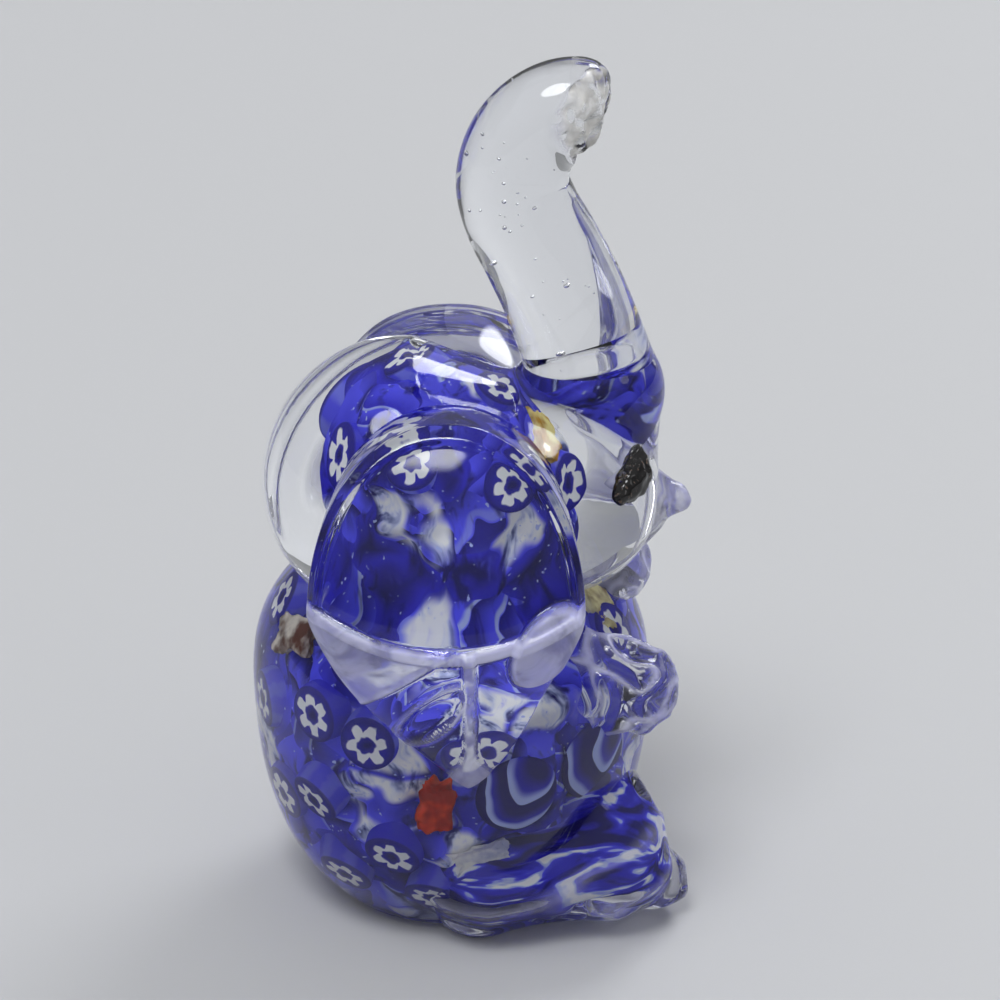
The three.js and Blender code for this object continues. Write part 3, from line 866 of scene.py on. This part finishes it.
def trunk():
    """A bar drawn along the trunk's line, broken off and worn at its tip."""
    mesh, rays = unit_ball(FINE)
    polar_angle = np.arccos(np.clip(rays[:, 2], -1, 1))
    cap = np.clip(polar_angle / TIP_FACE_ANGLE, 0, 1)
    share = np.clip(1 - (polar_angle - TIP_FACE_ANGLE) / (math.pi - TIP_FACE_ANGLE), 0, 1)
    near_tip = np.clip(1 - (1 - share) * TRUNK_LENGTH / TRUNK_TIP_ROUNDING, 0, 1)
    shrink = TRUNK_TIP_ROUNDING * (1 - np.sqrt(1 - near_tip ** 2))
    root = np.clip(share / TRUNK_ROOT_SHARE, 0, 1)
    radius = TRUNK_ROOT_RADIUS + (TRUNK_TIP_RADIUS - TRUNK_ROOT_RADIUS) * share
    radius += TRUNK_FLARE * np.exp(-((share * TRUNK_LENGTH - TRUNK_FLARE_PLACE) / TRUNK_FLARE_REACH) ** 2)
    radius = (radius - shrink) * cap * np.sqrt(1 - (1 - root) ** 2)
    line, tangents = spline(TRUNK_LINE, share)
    level = np.maximum(np.hypot(rays[:, 0], rays[:, 1]), TINY)
    across = np.column_stack((tangents[:, 1], 0 * share, -tangents[:, 0]))
    points = TRUNK_SEAT + np.column_stack((line[:, 0], 0 * share, line[:, 1]))
    points = points + across * (radius * rays[:, 0] / level)[:, None]
    points[:, 1] += radius * rays[:, 1] / level
    points += rays * ripple(points, *TRUNK_WAVES)[:, None]
    cut = TIP_CUT / np.linalg.norm(TIP_CUT)
    tip = points[share >= 1].mean(axis=0) - cut * TIP_CUT_DEPTH
    beyond = (points - tip) @ cut
    near_face = smooth(share, TIP_FACE_START, TIP_FACE_FULL)
    broken = smooth(beyond, *TIP_EDGE) * near_face
    points -= cut * (TIP_FLATTENING * np.maximum(beyond, 0) * near_face)[:, None]
    worn = crease(points, *TIP_FOLDS) + ripple(points, *TIP_PITS)
    points -= cut * (broken * (TIP_WEAR + worn))[:, None]
    move(mesh, points)
    piece = glass_piece("raised_trunk", mesh, "trunk")
    mark(piece, "broken", broken)
    mark(piece, "frost", TIP_FROSTING * broken * smooth(ripple(points, TIP_PATCHES, 1), *TIP_PATCH_EDGE))
    return piece


SEEDS = 40
SEED_RADII = (0.0001, 0.00035)
SEED_STRETCH = (0.2, 0.8)
SEED_SPREAD = 0.8
SEED_SKEW = 3
SEED_FINENESS = 3
SEED_SHUFFLE = 3


def air_seeds():
    """Small bubbles caught in the trunk."""
    dice = random.Random(SEED_SHUFFLE)
    mesh = bmesh.new()
    for _ in range(SEEDS):
        line, _ = spline(TRUNK_LINE, np.array([dice.uniform(*SEED_STRETCH)]))
        reach = TRUNK_TIP_RADIUS * SEED_SPREAD * math.sqrt(dice.random())
        turn = dice.uniform(0, math.tau)
        spot = TRUNK_SEAT + (line[0, 0] + reach * math.cos(turn), reach * math.sin(turn), line[0, 1])
        radius = SEED_RADII[0] + (SEED_RADII[1] - SEED_RADII[0]) * dice.random() ** SEED_SKEW
        bmesh.ops.create_icosphere(
            mesh, subdivisions=SEED_FINENESS, radius=radius, matrix=Matrix.Translation(spot))
    return finish_piece("air_seeds", mesh, trapped_air(), "clear_glass")


# Making the ears and eyes

def ear_outline(ahead, up):
    """How far the ear's rim lies from its centre in a direction."""
    reach = np.where(up > 0, EAR_UPPER_REACH, EAR_LOWER_REACH)
    power = np.where(up > 0, EAR_UPPER_POWER, EAR_LOWER_POWER)
    return (np.abs(ahead / EAR_HALF_WIDTH) ** power + np.abs(up / reach) ** power) ** (-1 / power)


def ear_crest(ahead):
    """Height of the crest that the ear is folded along."""
    return EAR_CREST_CURL * (ahead / EAR_HALF_WIDTH) ** 2 - EAR_CREST_DROP


def ear_fold(ahead, up):
    """How far the ear leans in above and below its crest."""
    rise = up - ear_crest(ahead)
    rounded = np.hypot(rise, EAR_CREST_ROUNDING) - EAR_CREST_ROUNDING
    return -rounded * np.where(rise > 0, EAR_UPPER_LEAN, EAR_LOWER_LEAN)


def almond(ahead, up, centre, half_length, half_width, tilt):
    """Measure that is 1 on the edge of a slanted oval and 0 at its middle."""
    turn = math.radians(tilt)
    along = (ahead - centre[0]) * math.cos(turn) + (up - centre[1]) * math.sin(turn)
    across = (up - centre[1]) * math.cos(turn) - (ahead - centre[0]) * math.sin(turn)
    return np.hypot(along / half_length, across / half_width)


# Marks on the ear's outer face, ahead of its centre and above it
CREST_EDGE = (-0.0004, 0.0004)
BAND_WIDTH = 0.0023
BAND_EDGE = 0.0006
BAND_HEIGHT = 0.0009
BAND_FROST = 0.9
REAR_CORNER = (-0.0096, -0.0123)
REAR_SLOPE = 0.88
REAR_EDGE = (0, 0.0007)
REAR_FRONT = (-0.002, 0.0)
REAR_HEIGHT = 0.0004
REAR_FROST = 0.75
REAR_LIP = (0.0004, 0.0018)
REAR_LIP_HEIGHT = 0.0004
REAR_LIP_FROST = 0.25
FLAP = {"centre": (0.0135, -0.0035), "half_length": 0.0072, "half_width": 0.0047, "tilt": 60}
FLAP_EDGE = (0.82, 1.0)
FLAP_HEIGHT = 0.0017
FLAP_FROST = 0.75
RIB_AHEAD = 0.0031
RIB_HALF_WIDTH = 0.0010
RIB_FLAT_SHARE = 0.6
RIB_FLARE = 0.0030
RIB_FLARE_DROP = (0.0200, 0.0270)
RIB_START = (0, 0.001)
RIB_HEIGHT = 0.0007
RIB_FROST = 0.55
FOLD = {"centre": (-0.0022, -0.0142), "half_length": 0.0072, "half_width": 0.0027, "tilt": 53}
FOLD_LIP_WIDTH = 0.13
FOLD_LIP_HEIGHT = 0.0007
FOLD_LIP_FROST = 0.5
FOLD_DISH = (0.5, 1.0)
FOLD_DISH_DEPTH = 0.0008


def ear_relief(ahead, up):
    """Raised and frosted marks on the ear's outer face: height and frosting."""
    below = ear_crest(ahead) - up
    under_crest = smooth(below, *CREST_EDGE)
    band = under_crest * (1 - smooth(below, BAND_WIDTH - BAND_EDGE, BAND_WIDTH))
    above_rear = up - (REAR_CORNER[1] + REAR_SLOPE * (ahead - REAR_CORNER[0]))
    rear = under_crest * smooth(above_rear, *REAR_EDGE) * smooth(-ahead, *REAR_FRONT)
    rear_lip = rear * (1 - smooth(above_rear, *REAR_LIP))
    flap = 1 - smooth(almond(ahead, up, **FLAP), *FLAP_EDGE)
    rib_width = RIB_HALF_WIDTH + RIB_FLARE * smooth(-up, *RIB_FLARE_DROP)
    rib = 1 - smooth(np.abs(ahead - RIB_AHEAD), RIB_FLAT_SHARE * rib_width, rib_width)
    rib *= smooth(below, *RIB_START)
    fold = almond(ahead, up, **FOLD)
    fold_lip = np.exp(-((fold - 1) / FOLD_LIP_WIDTH) ** 2) * (1 - flap)
    dish = 1 - smooth(fold, *FOLD_DISH)
    height = BAND_HEIGHT * band + REAR_HEIGHT * rear + REAR_LIP_HEIGHT * rear_lip
    height = height + FLAP_HEIGHT * flap + RIB_HEIGHT * rib + FOLD_LIP_HEIGHT * fold_lip
    frostings = (
        BAND_FROST * band,
        REAR_FROST * rear + REAR_LIP_FROST * rear_lip,
        FLAP_FROST * flap,
        RIB_FROST * rib,
        FOLD_LIP_FROST * fold_lip,
    )
    return height - FOLD_DISH_DEPTH * dish, np.max(frostings, axis=0)


def ear(name, node, side):
    """A pressed ear: flat rim, folded crest, domed outside, root that wraps round the head."""
    mesh, rays = unit_ball(FINE)
    flat = np.maximum(np.hypot(rays[:, 0], rays[:, 2]), TINY)
    to_rim = flat * ear_outline(rays[:, 0] / flat, rays[:, 2] / flat)
    ahead = to_rim * rays[:, 0] / flat
    up = to_rim * rays[:, 2] / flat
    ahead += EAR_LOBE_SWEEP * smooth(-up, EAR_SWEEP_START, EAR_LOWER_REACH)
    outer = rays[:, 1] * side > 0
    dome = EAR_DOME * rays[:, 1] ** 2
    sink = EAR_SINK + EAR_ROOT_WRAP * (ahead / EAR_HALF_WIDTH) ** 2
    root = (EAR_STANDOFF + sink) * (1 - flat ** EAR_ROOT_POWER)
    thickness = np.sqrt(np.abs(rays[:, 1])) * EAR_RIM + np.where(outer, dome, root)
    out = SKULL_RADIUS + EAR_STANDOFF + ear_fold(ahead, up) + np.where(outer, thickness, -thickness)
    height, frosting = ear_relief(ahead, up)
    bead = np.exp(-((flat - EAR_BEAD_PLACE) / EAR_BEAD_WIDTH) ** 2) * smooth(up, *EAR_BEAD_ENDS)
    out += outer * (height + EAR_BEAD_HEIGHT * bead)
    points = EAR_CENTRE + np.column_stack((ahead, side * out, up))
    points[:, 1] += ripple(points, *EAR_WAVES)
    move(mesh, points)
    piece = glass_piece(name, mesh, node)
    mark(piece, "frost", np.clip(frosting, 0, 1) * outer)
    return piece


def eye(name, node, side):
    """A drop-shaped bead set in the face."""
    azimuth, elevation = EYE_DIRECTION
    outward = heading(side * azimuth, elevation)
    seat = leave(head_form, FACE, outward[None, :])[0]
    mesh, rays = unit_ball(COARSE)
    local = rays * np.array(EYE_SIZE) / 2
    local[:, 0] = local[:, 0] * (1 - EYE_TAPER * rays[:, 1]) - side * EYE_LEAN * local[:, 1]
    stand = np.array(Vector(outward).to_track_quat("Z", "Y").to_matrix())
    points = seat + local @ stand.T
    points += rays @ stand.T * ripple(points, *EYE_LUMPS)[:, None]
    points += with_cheeks(seat[None, :]) - seat
    move(mesh, points)
    return finish_piece(name, mesh, BLACK_GLASS, "black_glass", node)


# Making the lips and feet

def drawn_form(joints, radii, *webs):
    """Distance to a limb drawn out through a run of balls, with webs melted on."""
    spans = [taper(*pair, *ends) for pair, ends in zip(zip(joints, joints[1:]), zip(radii, radii[1:]))]
    return melt(LIMB_MELT, *spans, *webs)


def limb(name, node, form, middle, folds, fold_height, haze, frosting):
    """A clear limb, folded to a size along each axis, hazed all over and frosted on its folds; the whiter
    fold crests are also painted highlights.
    """
    mesh, rays = unit_ball(MEDIUM)
    points = leave(form, middle, rays)
    points += rays * crease(points / np.array(folds), 1, fold_height)[:, None]
    move(mesh, points)
    stand_flat(mesh, 0, 0)
    piece = glass_piece(name, mesh, node)
    corners = np.array([vert.co for vert in piece.data.vertices])
    # Whiter frost on the fold crests: partly frost, partly painted highlights
    frost_highlight = haze + (frosting - haze) * smooth(crease(corners / np.array(folds), 1, 1), *FOLD_FROST_HIGHLIGHT)
    mark(piece, "frost", np.where(corners[:, 2] < GROUND_SKIN, 1, frost_highlight))
    return piece


# Where the fold crests whiten: frost that also serves as painted highlights
FOLD_FROST_HIGHLIGHT = (0.15, 0.5)
# haze: even frost all over; frosting: whitening of the fold crests, frost and painted highlights in one
LIP_FINISH = {"folds": (0.004, 0.004, 0.004), "fold_height": 0.0005, "haze": 0.45, "frosting": 0.8}
PAW_FINISH = {"folds": (0.006, 0.005, 0.0045), "fold_height": 0.0017, "haze": 0.08, "frosting": 0.75}
FOOT_FINISH = {"folds": (0.030, 0.012, 0.008), "fold_height": 0.0016, "haze": 0.0, "frosting": 0.3}

UPPER_LIP_STEP = (FACE_RADIUS + 0.0031, 0, -0.0016)
UPPER_LIP_RADII = (0.0084, 0.0018)
UPPER_LIP_MIDDLE = 0.25
MOUTH_ANGLE = -26
MOUTH_DEPTH = 0.0026
MOUTH_RADII = (0.0046, 0.0016)
LOWER_LIP_ROOT = (-0.0037, 0, -0.0105)
LOWER_LIP_RADII = (0.008, 0.0064)
CHIN_ANGLE = -58


def lips():
    """Two bits at the mouth, the upper one drawn out to a point."""
    tip = FACE + np.array(UPPER_LIP_STEP)
    mouth = FACE + heading(0, MOUTH_ANGLE) * (FACE_RADIUS - MOUTH_DEPTH)
    upper = drawn_form([(FACE + tip) / 2, tip], UPPER_LIP_RADII, taper(mouth, tip, *MOUTH_RADII))
    upper_middle = (1 - UPPER_LIP_MIDDLE) * FACE + UPPER_LIP_MIDDLE * tip
    limb("upper_lip", "lip_upper", upper, upper_middle, **LIP_FINISH)
    root = FACE + np.array(LOWER_LIP_ROOT)
    chin = FACE + heading(0, CHIN_ANGLE) * FACE_RADIUS
    lower = drawn_form([root, chin], LOWER_LIP_RADII)
    limb("lower_lip", "lip_lower", lower, (root + chin) / 2, **LIP_FINISH)


# Root of each leg, and the steps from it to the knee and the toe
FRONT_LEGS = {
    "front_leg_right": (polar(0.019, -45, 0.040), (0.0116, -0.0017, -0.002)),
    "front_leg_left": (polar(0.019, 45, 0.030), (0.0104, 0.0005, -0.005)),
}
FRONT_LEG_RADII = (0.008, 0.0066)
HIND_LEGS = {
    "hind_leg_right": (polar(0.017, -72, 0.0095), (0.018, 0.0015, 0.0005), (0.0245, 0.003, -0.0045)),
    "hind_leg_left": (polar(0.017, 72, 0.0095), (0.011, -0.0015, 0.0), (0.017, -0.003, -0.0045)),
}
THIGHS = {"hind_leg_right": polar(0.0215, -34, 0.021), "hind_leg_left": polar(0.0215, 48, 0.021)}
HIND_LEG_RADII = (0.0105, 0.0082, 0.0045)
THIGH_RADIUS = 0.008
DRAWN_RADII = (0.0075, 0.0054, 0.0022)
DRAWN_THIGH_RADIUS = 0.0056
DRAWN_LIFT = np.array((0, 0, 0.002))
DRAWN_SHARE = 0.6
DRAWN_FOLD_HEIGHT = 0.0010


def front_legs():
    """Crumpled forefeet."""
    for node, (root, step) in FRONT_LEGS.items():
        toe = root + np.array(step)
        paw = drawn_form([root, toe], FRONT_LEG_RADII)
        limb(f"clear_{node}", node, paw, (root + toe) / 2, **PAW_FINISH)


def hind_legs():
    """Drawn-out hind feet, each with the canes that were drawn into it."""
    for node, (root, knee_step, toe_step) in HIND_LEGS.items():
        thigh = THIGHS[node]
        knee = root + np.array(knee_step)
        toe = root + np.array(toe_step)
        middle = (root + knee) / 2
        haunch = taper(thigh, knee, THIGH_RADIUS, HIND_LEG_RADII[1])
        foot = drawn_form([root, knee, toe], HIND_LEG_RADII, haunch)
        limb(f"clear_{node}", node, foot, middle, **FOOT_FINISH)
        inner_haunch = taper(thigh, knee + DRAWN_LIFT, DRAWN_THIGH_RADIUS, DRAWN_RADII[1])
        inner_toe = knee + (toe - knee) * DRAWN_SHARE
        inner = drawn_form([root + DRAWN_LIFT, knee + DRAWN_LIFT, inner_toe], DRAWN_RADII, inner_haunch)
        mesh, rays = unit_ball(MEDIUM)
        points = leave(inner, middle + DRAWN_LIFT, rays)
        folded = crease(points / np.array(FOOT_FINISH["folds"]), 1, DRAWN_FOLD_HEIGHT)
        move(mesh, points + rays * folded[:, None])
        finish_piece(f"drawn_canes_{node}", mesh, DRAWN_COBALT, "cobalt_glass")


# Fusing the glass

FUSE_REACH = 0.002


def fuse(pieces):
    """Marks how deep each vertex of a glass piece lies inside the others, negative outside."""
    corners = [np.array([vert.co for vert in piece.data.vertices]) for piece in pieces]
    for piece, points in zip(pieces, corners):
        depths = np.full(len(points), -FUSE_REACH)
        for other, other_points in zip(pieces, corners):
            low = other_points.min(axis=0) - FUSE_REACH
            high = other_points.max(axis=0) + FUSE_REACH
            near = np.flatnonzero(np.all((points > low) & (points < high), axis=1))
            if other is not piece and len(near):
                tree = BVHTree.FromPolygons(other_points, [face.vertices for face in other.data.polygons])
                inside = [depth_inside(tree, Vector(points[index])) for index in near]
                depths[near] = np.maximum(depths[near], inside)
        mark(piece, "fused", depths)


def depth_inside(tree, point):
    """How deep a point lies inside a closed mesh, negative outside."""
    nearest, normal, _, distance = tree.find_nearest(point)
    return -distance if (point - nearest).dot(normal) > 0 else distance


body_core()
head_core()
canes()
chips()
body_casing()
head_casing()
trunk()
air_seeds()
for side_name, side in (("right", -1), ("left", 1)):
    ear(f"folded_ear_{side_name}", f"ear_{side_name}", side)
    eye(f"speckled_eye_{side_name}", f"eye_{side_name}", side)
lips()
front_legs()
hind_legs()
fuse(glass_pieces)


# Studio

FLOOR = rgb(0.50, 0.50, 0.51)
FLOOR_REACH = 4
FLOOR_DROP = 0.0002
FLOOR_ROUGHNESS = 0.6
FLOOR_GLOSS = 0.2
ROOM_TINT = rgb(0.96, 0.98, 1.0)
ROOM_GLOW = 0.24
CEILING = (0.0, 0.7)
CEILING_GLOW = 0.28
SOFTBOXES = ((Vector((-0.20, -0.40, 0.90)), 10.0), (Vector((0.45, 0.65, 0.6)), 8.0))
SOFTBOX_EDGE = math.cos(math.radians(14))
SOFTBOX_MIDDLE = math.cos(math.radians(11))
# Place, width in metres and power in watts of each lamp
LAMPS = {
    "key": ((-0.12, -0.50, 1.05), 0.12, 0.6),
    "back": ((0.3, 1.0, 0.8), 0.8, 0.8),
    "fill": ((0.9, -0.5, 0.6), 0.3, 0.3),
}
LAMP_TARGET = (0, 0, 0.05)


def lamp(name, position, size, power):
    """A round lamp that faces the elephant."""
    light = bpy.data.lights.new(name, "AREA")
    light.shape = "DISK"
    light.size = size
    light.energy = power
    lamp_object = bpy.data.objects.new(name, light)
    lamp_object.location = position
    lamp_object.rotation_euler = (Vector(LAMP_TARGET) - Vector(position)).to_track_quat("-Z", "Y").to_euler()
    bpy.context.scene.collection.objects.link(lamp_object)


def pale_floor():
    """A pale floor just under the base."""
    mesh = bmesh.new()
    bmesh.ops.create_grid(mesh, x_segments=1, y_segments=1, size=FLOOR_REACH)
    bmesh.ops.translate(mesh, verts=mesh.verts, vec=(0, 0, -FLOOR_DROP))
    data = bpy.data.meshes.new("floor")
    mesh.to_mesh(data)
    mesh.free()
    material, shader = new_shader("floor")
    surface = shader.node("ShaderNodeBsdfPrincipled", {}, {
        "Base Color": FLOOR, "Roughness": FLOOR_ROUGHNESS, "Specular IOR Level": FLOOR_GLOSS})
    data.materials.append(coat(material, shader, surface))
    floor = bpy.data.objects.new("floor", data)
    bpy.context.scene.collection.objects.link(floor)


def room():
    """A dim room with a brighter ceiling and soft boxes that the glass mirrors."""
    world = bpy.data.worlds.new("studio")
    bpy.context.scene.world = world
    world.use_nodes = True
    shader = Shader(world.node_tree)
    outward = shader.node("ShaderNodeTexCoord")
    _, _, height = shader.split(outward)
    glow = ROOM_GLOW + shader.smooth(height, *CEILING) * CEILING_GLOW
    for direction, strength in SOFTBOXES:
        facing = shader.vector("DOT_PRODUCT", outward, direction.normalized(), output=DOT_RESULT)
        glow = glow + shader.smooth(facing, SOFTBOX_EDGE, SOFTBOX_MIDDLE) * strength
    surface = shader.node("ShaderNodeBackground", {}, {"Color": ROOM_TINT, "Strength": glow})
    shader.node("ShaderNodeOutputWorld", {}, {0: surface})


VIEW_TARGET = Vector((AXIS_AHEAD + 0.0071, 0, 0.060))
VIEW_DISTANCE = 0.40
VIEW_ELEVATION = math.radians(24)
FOCAL_LENGTH = 100.8
SENSOR = 36.0
NEAREST_SEEN = 0.01


def camera():
    """The photograph's view, on the elephant's right side from a little above."""
    data = bpy.data.cameras.new("camera")
    data.lens = FOCAL_LENGTH
    data.sensor_width = SENSOR
    data.clip_start = NEAREST_SEEN
    viewer = bpy.data.objects.new("camera", data)
    offset = Vector((0, -math.cos(VIEW_ELEVATION), math.sin(VIEW_ELEVATION))) * VIEW_DISTANCE
    viewer.location = VIEW_TARGET + offset
    viewer.rotation_euler = (-offset).to_track_quat("-Z", "Y").to_euler()
    bpy.context.scene.collection.objects.link(viewer)
    bpy.context.scene.camera = viewer


pale_floor()
room()
for lamp_name, (lamp_place, lamp_width, lamp_power) in LAMPS.items():
    lamp(lamp_name, lamp_place, lamp_width, lamp_power)
camera()
bpy.context.scene.view_settings.view_transform = "Standard"
